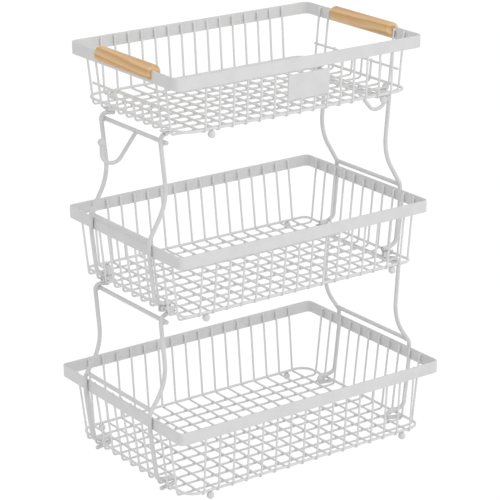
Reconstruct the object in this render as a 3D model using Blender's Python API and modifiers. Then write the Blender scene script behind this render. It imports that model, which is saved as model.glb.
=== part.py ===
# Three-tier wire fruit basket: three open baskets stacked on four removable side frames.
# Units are metres. +X is the long side, -Y is the front and the floor is z = 0.

import math

import bmesh
import bpy
from mathutils import Matrix, Vector

# Stock and clearances
GAP = 0.0003
WIRE_RADIUS = 0.0015
RING_RADIUS = 0.0017
FRAME_RADIUS = 0.0026
HOOK_RADIUS = 0.0023
WELD_OVERLAP = 0.0006
CUT_OVERRUN = 0.004

# Rim strips and the wires behind them
STRIP_THICKNESS = 0.0020
WIRE_TOP_DROP = 0.0010
WIRE_BEND = 0.0042

# Stack: outer size of the bottom rim
STACK_LENGTH = 0.4000
STACK_WIDTH = 0.2820

# Each basket: step in from the rim below, rise over it, depth, lean of its walls and wire grid
BASKETS = {
    "bottom": {
        "length_step": 0.0,
        "width_step": 0.0,
        "rise": 0.0054,
        "depth": 0.0971,
        "rim_height": 0.0160,
        "rim_corner": 0.0090,
        "end_lean": 0.0115,
        "side_lean": 0.0077,
        "cross_wires": 16,
        "cross_margin": 0.0234,
        "long_wires": 11,
        "long_margin": 0.0235,
        "ring_corner": 0.0190,
    },
    "middle": {
        "length_step": 0.0231,
        "width_step": 0.0241,
        "rise": 0.1291,
        "depth": 0.0881,
        "rim_height": 0.0155,
        "rim_corner": 0.0120,
        "end_lean": 0.0090,
        "side_lean": 0.0102,
        "cross_wires": 16,
        "cross_margin": 0.0230,
        "long_wires": 11,
        "long_margin": 0.0120,
        "ring_corner": 0.0080,
    },
    "top": {
        "length_step": 0.0133,
        "width_step": 0.0167,
        "rise": 0.1376,
        "depth": 0.0754,
        "rim_height": 0.0155,
        "rim_corner": 0.0110,
        "end_lean": 0.0080,
        "side_lean": 0.0044,
        "cross_wires": 15,
        "cross_margin": 0.0318,
        "long_wires": 10,
        "long_margin": 0.0252,
        "ring_corner": 0.0200,
    },
}

# Brackets inside the floor ring: a socket takes a foot, a pad with a lip rests on an arm
BRACKET_WALL = 0.0008
SLEEVE_LENGTH = 0.0085
TURN_DROP = 0.0090
WEB_WIDTH = 0.0030
PAD_LENGTH = 0.0120
PAD_THICKNESS = 0.0013
PAD_HIGH_DROP = 0.0030
LIP_DROP = 0.0016
LIP_RISE = 0.0085
SLIM_CHEEK = 0.0005
STUB_REACH = 0.0059
STUB_DROP = 0.0010
STUB_LAP = 0.0015

# Side frames: what changes from the lower pair to the upper pair
FRAMES = {
    "lower": {
        "carrier": "bottom",
        "carried": "middle",
        "arm_corner": 0.0084,
        "bow_inset": 0.0067,
        "bow_rise": 0.0415,
        "rim_bar_rise": 0.0090,
        "top_bar_drop": 0.0061,
        "foot_lift": 0.0025,
    },
    "upper": {
        "carrier": "middle",
        "carried": "top",
        "arm_corner": 0.0026,
        "bow_inset": 0.0079,
        "bow_rise": 0.0503,
        "rim_bar_rise": 0.0048,
        "top_bar_drop": 0.0083,
        "foot_lift": 0.0055,
    },
}
LOWER_FRAME_SHIFT = 0.0018
ARM_LENGTH = 0.0180
ARM_TURN = 28.0
ARM_BEND = 0.0080
BOW_BEND = 0.0700
PASS_RISE = 0.0050
PASS_BEND = 0.0120
PASS_DROP = 0.0020
LEAN_BEND = 0.0400
FOOT_REACH = 0.0088
FOOT_BEND = 0.0080
MOUTH_REACH = 0.0015
MOUTH_BEND = 0.0060
TOP_BAR_STUB = 0.0055
BEND_STEPS = 4

# Ball feet
FOOT_RADIUS = 0.0047
FOOT_DROP = 0.0010
FOOT_NECK = 0.0016
FOOT_STEPS = 12
FOOT_ARC_STEPS = 6

# Banana hooks: corners of the rod, out from the bar and down from its middle
HOOK_PLACE = -0.0050
HOOK_THROAT_OUT = 0.0276
HOOK_THROAT_DROP = 0.0340
HOOK_TOE_OUT = 0.0496
HOOK_TOE_DROP = 0.0323
HOOK_TIP_OUT = 0.0494
HOOK_TIP_DROP = 0.0055
HOOK_BEND = 0.0140
HOOK_BALL = 0.0047

# Hand openings and wooden handles in the ends of the top basket
OPENING_WIRES = 6
RAIL_RISE_SHARE = 0.358
HANDLE_LENGTH = 0.1210
HANDLE_RADIUS = 0.0095
HANDLE_DROP = 0.0037
HANDLE_INSET = 0.0034
HANDLE_EDGE = 0.0012
HANDLE_STEPS = 24

# Bare plate on the front of the top basket
PLATE_LEFT = -0.0220
PLATE_RIGHT = 0.0380
PLATE_RISE_SHARE = 0.3143
PLATE_HEIGHT_SHARE = 0.4178
PLATE_THICKNESS = 0.0010

ENDS = {"left": -1, "right": 1}
SIDES = {"front": -1, "back": 1}


# Scene

def clear_scene():
    for item in list(bpy.data.objects):
        bpy.data.objects.remove(item, do_unlink=True)


def new_collection(name, hidden=False):
    collection = bpy.data.collections.new(name)
    bpy.context.scene.collection.children.link(collection)
    collection.hide_render = hidden
    return collection


clear_scene()
PARTS = new_collection("tiered_fruit_basket")
CUTTERS = new_collection("cutters", hidden=True)


def finish(name, colour, roughness, metallic):
    """A Principled material with the part's plain colour."""
    material = bpy.data.materials.new(name)
    material.use_nodes = True
    shader = material.node_tree.nodes["Principled BSDF"]
    shader.inputs["Base Color"].default_value = (*colour, 1.0)
    shader.inputs["Roughness"].default_value = roughness
    shader.inputs["Metallic"].default_value = metallic
    return material


WIRE_FINISH = finish("powder_coated_wire", (0.80, 0.80, 0.80), 0.45, 0.0)
RIM_FINISH = finish("powder_coated_strip", (0.78, 0.78, 0.78), 0.45, 0.0)
FRAME_FINISH = finish("powder_coated_frame_rod", (0.79, 0.79, 0.79), 0.45, 0.0)
BRACKET_FINISH = finish("powder_coated_bracket", (0.74, 0.74, 0.74), 0.50, 0.0)
FOOT_FINISH = finish("powder_coated_foot", (0.76, 0.76, 0.76), 0.50, 0.0)
HOOK_FINISH = finish("powder_coated_hook", (0.79, 0.79, 0.79), 0.45, 0.0)
PLATE_FINISH = finish("powder_coated_plate", (0.77, 0.77, 0.77), 0.50, 0.0)
RAIL_FINISH = finish("powder_coated_rail", (0.76, 0.76, 0.76), 0.50, 0.0)
WOOD_FINISH = finish("clear_coated_wood", (0.66, 0.40, 0.19), 0.50, 0.0)


# Geometry helpers

def bent_path(corners, radii, steps=BEND_STEPS):
    """Points along straight runs joined by round bends, one radius for each inner corner."""
    points = [corners[0]]
    for index, radius in enumerate(radii, start=1):
        corner = corners[index]
        back = (corners[index - 1] - corner).normalized()
        ahead = (corners[index + 1] - corner).normalized()
        half_angle = back.angle(ahead) / 2
        reach = radius / math.tan(half_angle)
        centre = corner + (back + ahead).normalized() * (radius / math.sin(half_angle))
        start = corner + back * reach - centre
        end = corner + ahead * reach - centre
        for step in range(steps + 1):
            spoke = start.lerp(end, step / steps).normalized()
            points.append(centre + spoke * radius)
    points.append(corners[-1])
    return points


def rounded_rectangle(half_x, half_y, radius, steps=6):
    """Outline points of a rectangle with round corners, anticlockwise from its front right."""
    points = []
    for sign_x, sign_y, first in ((1, -1, -90), (1, 1, 0), (-1, 1, 90), (-1, -1, 180)):
        for step in range(steps + 1):
            angle = math.radians(first + 90 * step / steps)
            across = sign_x * (half_x - radius) + radius * math.cos(angle)
            along = sign_y * (half_y - radius) + radius * math.sin(angle)
            points.append(Vector((across, along, 0)))
    return points


def wire_curve(name, routes, radius, resolution, cyclic=False):
    """A curve of round wire along each route, with filled ends."""
    curve = bpy.data.curves.new(name, "CURVE")
    curve.dimensions = "3D"
    curve.bevel_depth = radius
    curve.bevel_resolution = resolution
    curve.use_fill_caps = True
    for route in routes:
        spline = curve.splines.new("POLY")
        spline.points.add(len(route) - 1)
        spline.use_cyclic_u = cyclic
        for point, position in zip(spline.points, route):
            point.co = (*position, 1)
    return curve


def place(name, data, material, location=(0, 0, 0), scale=(1, 1, 1), parent=None):
    """A named part in the object's collection, at a place given in the world."""
    part = bpy.data.objects.new(name, data)
    PARTS.objects.link(part)
    if material.name not in data.materials:
        data.materials.append(material)
    part.location = location
    part.scale = scale
    if parent:
        part.parent = parent
        part.location = Vector(location) - parent.location
    return part


def helper(name, data):
    part = bpy.data.objects.new(name, data)
    CUTTERS.objects.link(part)
    part.hide_render = True
    part.display_type = "WIRE"
    return part


def solid_mesh(source):
    """The evaluated mesh of an object with its loose ends welded; the object goes."""
    graph = bpy.context.evaluated_depsgraph_get()
    mesh = bpy.data.meshes.new_from_object(source.evaluated_get(graph))
    mesh.name = source.name
    shape = bmesh.new()
    shape.from_mesh(mesh)
    bmesh.ops.remove_doubles(shape, verts=shape.verts, dist=GAP / 100)
    bmesh.ops.recalc_face_normals(shape, faces=shape.faces)
    shape.to_mesh(mesh)
    shape.free()
    bpy.data.objects.remove(source)
    return mesh


def box_mesh(name, low, high):
    size = Vector(high) - Vector(low)
    middle = (Vector(high) + Vector(low)) / 2
    shape = bmesh.new()
    bmesh.ops.create_cube(shape, size=1)
    bmesh.ops.transform(shape, matrix=Matrix.Diagonal((*size, 1)), verts=shape.verts)
    bmesh.ops.translate(shape, vec=middle, verts=shape.verts)
    mesh = bpy.data.meshes.new(name)
    shape.to_mesh(mesh)
    shape.free()
    return mesh


def combine(target, operation, other):
    step = target.modifiers.new(operation.lower(), "BOOLEAN")
    step.operation = operation
    step.solver = "EXACT"
    step.object = other


def turned(part, steps):
    """Turns the part's profile about its own Z axis."""
    screw = part.modifiers.new("turn", "SCREW")
    screw.steps = steps
    screw.render_steps = steps
    screw.use_merge_vertices = True
    screw.merge_threshold = GAP / 10


def profile_mesh(name, points):
    edges = [(index, index + 1) for index in range(len(points) - 1)]
    mesh = bpy.data.meshes.new(name)
    mesh.from_pydata([(radius, 0, height) for radius, height in points], edges, [])
    return mesh


def smooth(part, angle=40):
    part.data.shade_smooth()
    part.data.set_sharp_from_angle(angle=math.radians(angle))


# Places worked out from the driving sizes

def stack_baskets():
    """Gives each basket its rim size and heights, from the bottom up."""
    length = STACK_LENGTH
    width = STACK_WIDTH
    under = 0.0
    for basket in BASKETS.values():
        length -= basket["length_step"]
        width -= basket["width_step"]
        basket["length"] = length
        basket["width"] = width
        basket["floor"] = under + basket["rise"]
        basket["rim_top"] = basket["floor"] + basket["depth"]
        under = basket["rim_top"]


stack_baskets()


def cross_height(basket):
    return basket["floor"] + 2 * WIRE_RADIUS + GAP


def ring_height(basket):
    return cross_height(basket) + WIRE_RADIUS + RING_RADIUS - WELD_OVERLAP


def foot_height(basket):
    """Height of a frame's foot: it lies just over the floor ring."""
    return ring_height(basket) + RING_RADIUS + GAP + FRAME_RADIUS


def wire_inset():
    return STRIP_THICKNESS + GAP + WIRE_RADIUS


def wall_half(basket, size, lean, height):
    """Half the distance between the wires of two facing walls at a height."""
    wire_top = basket["rim_top"] - WIRE_TOP_DROP
    share = (wire_top - height) / (wire_top - basket["floor"])
    return basket[size] / 2 - wire_inset() - basket[lean] * share


def end_wall(basket, height):
    return wall_half(basket, "length", "end_lean", height)


def side_wall(basket, height):
    return wall_half(basket, "width", "side_lean", height)


def spread(count, half_span):
    """Even places from one end of a span to the other."""
    return [half_span * (2 * index / (count - 1) - 1) for index in range(count)]


def cross_places(basket):
    return spread(basket["cross_wires"], end_wall(basket, basket["floor"]) - basket["cross_margin"])


def long_places(basket):
    return spread(basket["long_wires"], side_wall(basket, basket["floor"]) - basket["long_margin"])


def ring_half(wall):
    return wall - WIRE_RADIUS - RING_RADIUS + WELD_OVERLAP


def wire_bay(basket, place_y):
    """The clear space between the two long wires on either side of a place."""
    places = long_places(basket)
    below = max(y for y in places if y <= place_y)
    above = min(y for y in places if y > place_y)
    return below + WIRE_RADIUS + GAP, above - WIRE_RADIUS - GAP


def frame_place(level):
    """How far the uprights stand from the middle: in the bay outside the third last long wire."""
    inner, outer = long_places(BASKETS[FRAMES[level]["carrier"]])[-3:-1]
    if level == "lower":
        return (inner + outer) / 2 + LOWER_FRAME_SHIFT
    return inner + WIRE_RADIUS + GAP + SLIM_CHEEK + GAP + FRAME_RADIUS


def bracket_half():
    """Radius of the round socket for a frame's foot."""
    return FRAME_RADIUS + GAP + BRACKET_WALL


def clip_end(basket):
    """Outer end of the brackets, just inside the floor ring."""
    return ring_half(end_wall(basket, ring_height(basket))) - RING_RADIUS - GAP


def arm_corner(basket):
    """Where the arms under a basket turn in, out from the middle."""
    level = "upper" if basket is BASKETS["top"] else "lower"
    return end_wall(basket, basket["floor"]) + FRAMES[level]["arm_corner"]


def arm_inner_side(basket):
    """Side of the arm towards the middle at its tip."""
    tip = arm_place(basket) - ARM_LENGTH * math.sin(math.radians(ARM_TURN))
    return tip - FRAME_RADIUS - GAP


def arm_outer_side(basket):
    """Side of the arm away from the middle, where it passes the end of the brackets."""
    turn = math.radians(ARM_TURN)
    at_end = arm_place(basket) - (arm_corner(basket) - clip_end(basket)) * math.tan(turn)
    return at_end + FRAME_RADIUS / math.cos(turn) + GAP


def pad_is_low(basket):
    """The arm and pad drop under the long wires unless they fit in the sleeve's own bay."""
    low, high = wire_bay(basket, foot_place(basket))
    return arm_inner_side(basket) < low or arm_place(basket) + FRAME_RADIUS + GAP > high


def arm_place(basket):
    return frame_place("upper" if basket is BASKETS["top"] else "lower")


def foot_place(basket):
    return frame_place("lower" if basket is BASKETS["bottom"] else "upper")


def pad_top(basket):
    if pad_is_low(basket):
        return basket["floor"] - WIRE_RADIUS - GAP
    return arm_height(basket) + FRAME_RADIUS + GAP + PAD_THICKNESS


def arm_height(basket):
    if pad_is_low(basket):
        return pad_top(basket) - PAD_THICKNESS - GAP - FRAME_RADIUS
    return basket["floor"] - PAD_HIGH_DROP


def foot_entry(basket):
    """Where a frame's foot passes the end wall."""
    return end_wall(basket, foot_height(basket))


# Baskets

def cross_wire_route(basket, x):
    height = cross_height(basket)
    top = basket["rim_top"] - WIRE_TOP_DROP
    floor_y = side_wall(basket, height)
    top_y = side_wall(basket, top)
    corners = [
        Vector((x, -top_y, top)),
        Vector((x, -floor_y, height)),
        Vector((x, floor_y, height)),
        Vector((x, top_y, top)),
    ]
    return bent_path(corners, [WIRE_BEND, WIRE_BEND], steps=2)


def long_wire_route(basket, y, top):
    height = basket["floor"]
    floor_x = end_wall(basket, height)
    top_x = end_wall(basket, top)
    corners = [
        Vector((-top_x, y, top)),
        Vector((-floor_x, y, height)),
        Vector((floor_x, y, height)),
        Vector((top_x, y, top)),
    ]
    return bent_path(corners, [WIRE_BEND, WIRE_BEND], steps=2)


def rail_height(basket):
    return basket["floor"] + basket["depth"] * RAIL_RISE_SHARE


def long_wire_tops(basket):
    """Top of each long wire: in the top basket the middle ones end at the hand opening."""
    full = basket["rim_top"] - WIRE_TOP_DROP
    count = basket["long_wires"]
    if basket is not BASKETS["top"]:
        return [full] * count
    edge = (count - OPENING_WIRES) // 2
    short = rail_height(basket) + WIRE_RADIUS
    return [short if edge <= index < count - edge else full for index in range(count)]


def build_cage(name, basket):
    routes = [cross_wire_route(basket, x) for x in cross_places(basket)]
    for y, top in zip(long_places(basket), long_wire_tops(basket)):
        routes.append(long_wire_route(basket, y, top))
    wires = helper(name + "_wires", wire_curve(name + "_wires", routes, WIRE_RADIUS, 0))
    cage = place(name + "_cage", solid_mesh(wires), WIRE_FINISH)

    height = ring_height(basket)
    half_x = ring_half(end_wall(basket, height))
    half_y = ring_half(side_wall(basket, height))
    outline = rounded_rectangle(half_x, half_y, basket["ring_corner"], steps=4)
    route = [point + Vector((0, 0, height)) for point in outline]
    loop = helper(name + "_loop", wire_curve(name + "_loop", [route], RING_RADIUS, 1, cyclic=True))
    ring = helper(name + "_ring", solid_mesh(loop))
    combine(cage, "UNION", ring)


def build_rim(name, basket):
    curve = bpy.data.curves.new(name + "_rim", "CURVE")
    curve.dimensions = "2D"
    curve.fill_mode = "BOTH"
    curve.extrude = basket["rim_height"] / 2
    for inset in (0, STRIP_THICKNESS):
        half_x = basket["length"] / 2 - inset
        half_y = basket["width"] / 2 - inset
        outline = rounded_rectangle(half_x, half_y, basket["rim_corner"] - inset)
        spline = curve.splines.new("POLY")
        spline.points.add(len(outline) - 1)
        spline.use_cyclic_u = True
        for point, corner in zip(spline.points, outline):
            point.co = (*corner, 1)
    place(name + "_rim", curve, RIM_FINISH, (0, 0, basket["rim_top"] - basket["rim_height"] / 2))


def build_ball_feet(name, basket):
    centre = basket["floor"] - FOOT_DROP
    neck_top = ring_height(basket) - RING_RADIUS - GAP - centre
    flat = min(FOOT_RADIUS, BASKETS["bottom"]["floor"] - FOOT_DROP)
    first = math.asin(FOOT_NECK / FOOT_RADIUS)
    last = math.pi - math.acos(flat / FOOT_RADIUS)
    profile = [(0, neck_top), (FOOT_NECK, neck_top)]
    for step in range(FOOT_ARC_STEPS + 1):
        angle = first + (last - first) * step / FOOT_ARC_STEPS
        profile.append((FOOT_RADIUS * math.sin(angle), FOOT_RADIUS * math.cos(angle)))
    profile.append((0, -flat))
    mesh = profile_mesh(name + "_ball_foot", profile)

    places = cross_places(basket)
    foot_x = (places[-1] + places[-2]) / 2
    foot_y = ring_half(side_wall(basket, ring_height(basket)))
    for end, sign_x in ENDS.items():
        for side, sign_y in SIDES.items():
            label = f"{name}_ball_foot_{side}_{end}"
            foot = place(label, mesh, FOOT_FINISH, (sign_x * foot_x, sign_y * foot_y, centre))
            turned(foot, FOOT_STEPS)


def block(name, low, high):
    return helper(name, box_mesh(name, low, high))


def round_solid(name, route, radius, resolution):
    rod = helper(name + "_rod", wire_curve(name + "_rod", [route], radius, resolution))
    return helper(name, solid_mesh(rod))


def socket(name, basket, tail):
    """Round socket for a frame's foot; the corners of its tail lead on from its inner end."""
    foot = Vector((clip_end(basket), foot_place(basket), foot_height(basket)))
    inner = foot - Vector((SLEEVE_LENGTH, 0, 0))
    route = bent_path([foot, *tail], [TURN_DROP / 2 - GAP] * (len(tail) - 1)) if tail else [foot, inner]
    body = round_solid(name + "_socket", route, bracket_half(), 2)
    drill_radius = (FRAME_RADIUS + GAP) / math.cos(math.pi / 8)
    stop = inner if tail else inner - Vector((CUT_OVERRUN, 0, 0))
    drill = [foot + Vector((CUT_OVERRUN, 0, 0)), stop]
    combine(body, "DIFFERENCE", round_solid(name + "_drill", drill, drill_radius, 2))
    return body


def pad_block(name, basket, inner_y):
    """Pad over a frame's arm, with a lip down its outer side."""
    outer_x = clip_end(basket)
    inner_x = outer_x - PAD_LENGTH
    top = pad_top(basket)
    lip_y = arm_outer_side(basket)
    lip_low = (inner_x, lip_y, arm_height(basket) - LIP_DROP)
    outer_y = lip_y + BRACKET_WALL
    lip_top = top
    if pad_is_low(basket):
        outer_y = max(outer_y, arm_place(basket) + bracket_half())
    else:
        lip_top = basket["floor"] + LIP_RISE
    body = block(name + "_pad", (inner_x, inner_y, top - PAD_THICKNESS), (outer_x, outer_y, top))
    lip = block(name + "_lip", lip_low, (outer_x, lip_y + BRACKET_WALL, lip_top))
    combine(body, "UNION", lip)
    return body


def bottom_bracket(name, basket):
    """Socket whose rod turns down and back out under the floor ring."""
    foot_y = foot_place(basket)
    high = foot_height(basket)
    low = high - TURN_DROP
    turn_x = clip_end(basket) - SLEEVE_LENGTH - TURN_DROP / 2
    tail_x = clip_end(basket) - SLEEVE_LENGTH + STUB_LAP
    tail = [
        Vector((turn_x, foot_y, high)),
        Vector((turn_x, foot_y, low)),
        Vector((tail_x, foot_y, low)),
    ]
    body = socket(name, basket, tail)
    stub_x = end_wall(basket, basket["floor"]) + STUB_REACH
    outer = Vector((stub_x, foot_y, basket["floor"] - STUB_DROP))
    inner = Vector((tail_x - STUB_LAP, foot_y, low))
    combine(body, "UNION", round_solid(name + "_stub", [inner, outer], FRAME_RADIUS, 2))
    return body


def middle_bracket(name, basket):
    """Socket on a web that stands on the pad over the arm below."""
    half = bracket_half()
    foot_y = foot_place(basket)
    outer_x = clip_end(basket)
    body = socket(name, basket, [])
    pad_low = pad_top(basket) - PAD_THICKNESS
    web_low = (outer_x - SLEEVE_LENGTH + GAP, foot_y - WEB_WIDTH / 2, pad_low + GAP)
    web_high = (outer_x - GAP, foot_y + WEB_WIDTH / 2, foot_height(basket) - FRAME_RADIUS - 2 * GAP)
    combine(body, "UNION", block(name + "_web", web_low, web_high))
    bay_low = wire_bay(basket, foot_y)[0]
    inner_y = max(bay_low, min(foot_y - half, arm_inner_side(basket)))
    combine(body, "UNION", pad_block(name, basket, inner_y))
    return body


def bracket_mesh(name, basket):
    """One bracket at the back right, for the foot over it, the arm under it or both."""
    if basket is BASKETS["bottom"]:
        return solid_mesh(bottom_bracket(name, basket))
    if basket is BASKETS["middle"]:
        return solid_mesh(middle_bracket(name, basket))
    return solid_mesh(pad_block(name, basket, arm_inner_side(basket)))


def build_brackets(name, basket):
    mesh = bracket_mesh(name, basket)
    for end, sign_x in ENDS.items():
        for side, sign_y in SIDES.items():
            place(f"{name}_bracket_{side}_{end}", mesh, BRACKET_FINISH, scale=(sign_x, sign_y, 1))


# Side frames

def upright_corners(level):
    """Corners of the back right upright: arm, bow, run past the rim and foot."""
    frame = FRAMES[level]
    carrier = BASKETS[frame["carrier"]]
    carried = BASKETS[frame["carried"]]
    turn = math.radians(ARM_TURN)
    arm = Vector((arm_corner(carried), 0, arm_height(carried)))
    rim_x = carrier["length"] / 2 + GAP + FRAME_RADIUS
    rim_top = carrier["rim_top"]
    foot_z = foot_height(carrier)
    mouth = clip_end(carrier) + MOUTH_REACH
    return [
        arm - ARM_LENGTH * Vector((math.cos(turn), math.sin(turn), 0)),
        arm,
        Vector((arm.x - frame["bow_inset"], 0, rim_top + frame["bow_rise"])),
        Vector((rim_x, 0, rim_top + PASS_RISE)),
        Vector((rim_x, 0, rim_top - carrier["rim_height"] - PASS_DROP)),
        Vector((foot_entry(carrier) + FOOT_REACH, 0, foot_z + frame["foot_lift"])),
        Vector((mouth, 0, foot_z)),
        Vector((clip_end(carrier) - SLEEVE_LENGTH + GAP, 0, foot_z)),
    ]


def upright_route(level):
    bends = [ARM_BEND, BOW_BEND, PASS_BEND, LEAN_BEND, FOOT_BEND, MOUTH_BEND]
    return bent_path(upright_corners(level), bends)


def upright_place(level, height):
    """Distance of the upright's outer run from the middle at a height."""
    route = upright_route(level)
    for lower, higher in zip(route[1:], route):
        if lower.z <= height <= higher.z and higher.z > lower.z:
            share = (height - lower.z) / (higher.z - lower.z)
            return lower.x + (higher.x - lower.x) * share
    return route[0].x


def hook_mesh(name, bar):
    """Hook rod with its round tip, out and down from the side of the top bar."""
    throat = Vector((HOOK_THROAT_OUT, 0, -HOOK_THROAT_DROP))
    corners = [
        bar + throat.normalized() * (FRAME_RADIUS + GAP),
        bar + throat,
        bar + Vector((HOOK_TOE_OUT, 0, -HOOK_TOE_DROP)),
        bar + Vector((HOOK_TIP_OUT, 0, -HOOK_TIP_DROP)),
    ]
    route = bent_path(corners, [HOOK_BEND, HOOK_BEND], steps=5)
    rod = helper(name + "_rod", wire_curve(name + "_rod", [route], HOOK_RADIUS, 1))
    rod = helper(name + "_hook", solid_mesh(rod))
    shape = bmesh.new()
    bmesh.ops.create_uvsphere(shape, u_segments=12, v_segments=8, radius=HOOK_BALL)
    bmesh.ops.translate(shape, vec=route[-1], verts=shape.verts)
    ball = bpy.data.meshes.new(name + "_ball")
    shape.to_mesh(ball)
    shape.free()
    combine(rod, "UNION", helper(name + "_ball", ball))
    return solid_mesh(rod)


def build_frames(level):
    frame = FRAMES[level]
    carrier = BASKETS[frame["carrier"]]
    carried = BASKETS[frame["carried"]]
    frame_y = frame_place(level)
    upright = wire_curve(level + "_upright", [upright_route(level)], FRAME_RADIUS, 1)

    top_z = arm_height(carried) - frame["top_bar_drop"]
    top_x = upright_place(level, top_z) - 2 * FRAME_RADIUS - GAP
    top_half = Vector((0, frame_y + TOP_BAR_STUB, 0))
    top_bar = wire_curve(level + "_top_bar", [[-top_half, top_half]], FRAME_RADIUS, 1)
    rim_z = carrier["rim_top"] + frame["rim_bar_rise"]
    rim_x = upright_place(level, rim_z)
    rim_half = Vector((0, frame_y - FRAME_RADIUS - GAP, 0))
    rim_bar = wire_curve(level + "_rim_bar", [[-rim_half, rim_half]], FRAME_RADIUS, 1)
    hook = hook_mesh(level, Vector((top_x, 0, top_z))) if level == "upper" else None

    for end, sign_x in ENDS.items():
        label = f"{level}_{end}"
        pull = bpy.data.objects.new(f"{label}_frame", None)
        PARTS.objects.link(pull)
        pull.location = (sign_x * foot_entry(carrier), 0, foot_height(carrier))
        mirrored = (sign_x, 1, 1)
        for side, sign_y in SIDES.items():
            centre = (0, sign_y * frame_y, 0)
            facing = (sign_x, sign_y, 1)
            place(f"{label}_upright_{side}", upright, FRAME_FINISH, centre, facing, pull)
        place(f"{label}_top_bar", top_bar, FRAME_FINISH, (sign_x * top_x, 0, top_z), mirrored, pull)
        place(f"{label}_rim_bar", rim_bar, FRAME_FINISH, (sign_x * rim_x, 0, rim_z), mirrored, pull)
        if hook:
            place(f"banana_hook_{end}", hook, HOOK_FINISH, (0, HOOK_PLACE, 0), mirrored, pull)


# Top basket fittings

def build_handles(basket):
    """Slotted bars over the end strips, up against the front wire beside each hand opening."""
    strip_x = basket["length"] / 2 - STRIP_THICKNESS / 2
    centre_x = strip_x - HANDLE_INSET
    centre_z = basket["rim_top"] - HANDLE_DROP
    edge = (basket["long_wires"] - OPENING_WIRES) // 2
    front_y = WIRE_RADIUS + GAP - long_places(basket)[-edge]
    half = HANDLE_LENGTH / 2
    profile = [
        (0, half),
        (HANDLE_RADIUS - HANDLE_EDGE, half),
        (HANDLE_RADIUS, half - HANDLE_EDGE),
        (HANDLE_RADIUS, HANDLE_EDGE - half),
        (HANDLE_RADIUS - HANDLE_EDGE, -half),
        (0, -half),
    ]
    mesh = profile_mesh("handle", profile)
    slot_half = STRIP_THICKNESS / 2 + GAP
    slot_top = basket["rim_top"] + GAP
    slot_bottom = centre_z - HANDLE_RADIUS - CUT_OVERRUN
    for end, sign_x in ENDS.items():
        centre = (sign_x * centre_x, front_y + half, centre_z)
        handle = place(f"handle_{end}", mesh, WOOD_FINISH, centre)
        handle.rotation_euler.x = math.radians(90)
        turned(handle, HANDLE_STEPS)
        low = (sign_x * strip_x - slot_half, front_y - CUT_OVERRUN, slot_bottom)
        high = (sign_x * strip_x + slot_half, front_y + HANDLE_LENGTH + CUT_OVERRUN, slot_top)
        combine(handle, "DIFFERENCE", helper(f"slot_{end}", box_mesh(f"slot_{end}", low, high)))


def build_rails(basket):
    """Wires inside the end walls that close off the foot of each hand opening."""
    height = rail_height(basket)
    inner_x = end_wall(basket, height) - 2 * WIRE_RADIUS - GAP
    half = Vector((0, long_places(basket)[-1], 0))
    rail = wire_curve("hand_rail", [[-half, half]], WIRE_RADIUS, 1)
    for end, sign_x in ENDS.items():
        place(f"hand_opening_rail_{end}", rail, RAIL_FINISH, (sign_x * inner_x, 0, height))


def build_plate(basket):
    """Bare plate that leans with the front wires it is fixed to."""
    middle_x = (PLATE_LEFT + PLATE_RIGHT) / 2
    height = basket["depth"] * PLATE_HEIGHT_SHARE
    middle_z = basket["floor"] + basket["depth"] * PLATE_RISE_SHARE + height / 2
    wall_y = side_wall(basket, middle_z)
    lean = math.atan2(basket["side_lean"], basket["depth"] - WIRE_TOP_DROP)
    offset = (WIRE_RADIUS + GAP) / math.cos(lean) + PLATE_THICKNESS / 2
    half = Vector((PLATE_RIGHT - PLATE_LEFT, PLATE_THICKNESS, height)) / 2
    plate = place(
        "label_plate",
        box_mesh("label_plate", -half, half),
        PLATE_FINISH,
        (middle_x, -wall_y - offset, middle_z),
    )
    plate.rotation_euler.x = lean


# Assembly

def build_basket(name):
    basket = BASKETS[name]
    label = name + "_basket"
    build_cage(label, basket)
    build_rim(label, basket)
    build_ball_feet(name, basket)
    build_brackets(name, basket)


for basket_name in BASKETS:
    build_basket(basket_name)
for frame_level in FRAMES:
    build_frames(frame_level)
build_handles(BASKETS["top"])
build_rails(BASKETS["top"])
build_plate(BASKETS["top"])
for part in PARTS.objects:
    if part.type == "MESH":
        smooth(part)
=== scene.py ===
import math

import bmesh
import bpy
from mathutils import Matrix, Vector


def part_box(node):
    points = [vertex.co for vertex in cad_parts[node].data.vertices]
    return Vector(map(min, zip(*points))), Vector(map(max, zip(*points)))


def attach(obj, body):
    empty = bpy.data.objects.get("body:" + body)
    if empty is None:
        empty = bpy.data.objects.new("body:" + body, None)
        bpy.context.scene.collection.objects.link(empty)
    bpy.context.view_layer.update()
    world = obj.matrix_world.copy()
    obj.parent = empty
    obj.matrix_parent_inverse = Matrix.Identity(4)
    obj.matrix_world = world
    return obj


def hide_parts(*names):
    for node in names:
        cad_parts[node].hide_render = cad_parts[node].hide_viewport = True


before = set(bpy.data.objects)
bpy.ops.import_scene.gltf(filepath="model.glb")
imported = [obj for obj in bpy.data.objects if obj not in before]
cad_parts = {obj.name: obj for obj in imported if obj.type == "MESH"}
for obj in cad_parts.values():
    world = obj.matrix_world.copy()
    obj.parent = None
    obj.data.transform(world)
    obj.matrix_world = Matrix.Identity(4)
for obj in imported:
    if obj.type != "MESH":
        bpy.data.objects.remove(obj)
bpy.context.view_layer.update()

# Three-tier wire fruit basket. Metres, the front is -Y and the table is z = 0.

ends = {"left": -1, "right": 1}
sides = {"front": -1, "back": 1}
tiers = ("bottom", "middle", "top")
airGap = 0.0003  # left between neighbouring pieces in the CAD
pureWhite = (1, 1, 1, 1)


def addNode(tree, kind, inputs=None, **settings):
    node = tree.nodes.new(kind)
    for name, value in settings.items():
        setattr(node, name, value)
    for socket, value in (inputs or {}).items():
        if isinstance(value, bpy.types.NodeSocket):
            tree.links.new(value, node.inputs[socket])
        else:
            node.inputs[socket].default_value = value
    return node


def placed(name, data):
    item = bpy.data.objects.new(name, data)
    bpy.context.scene.collection.objects.link(item)
    return item


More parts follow.
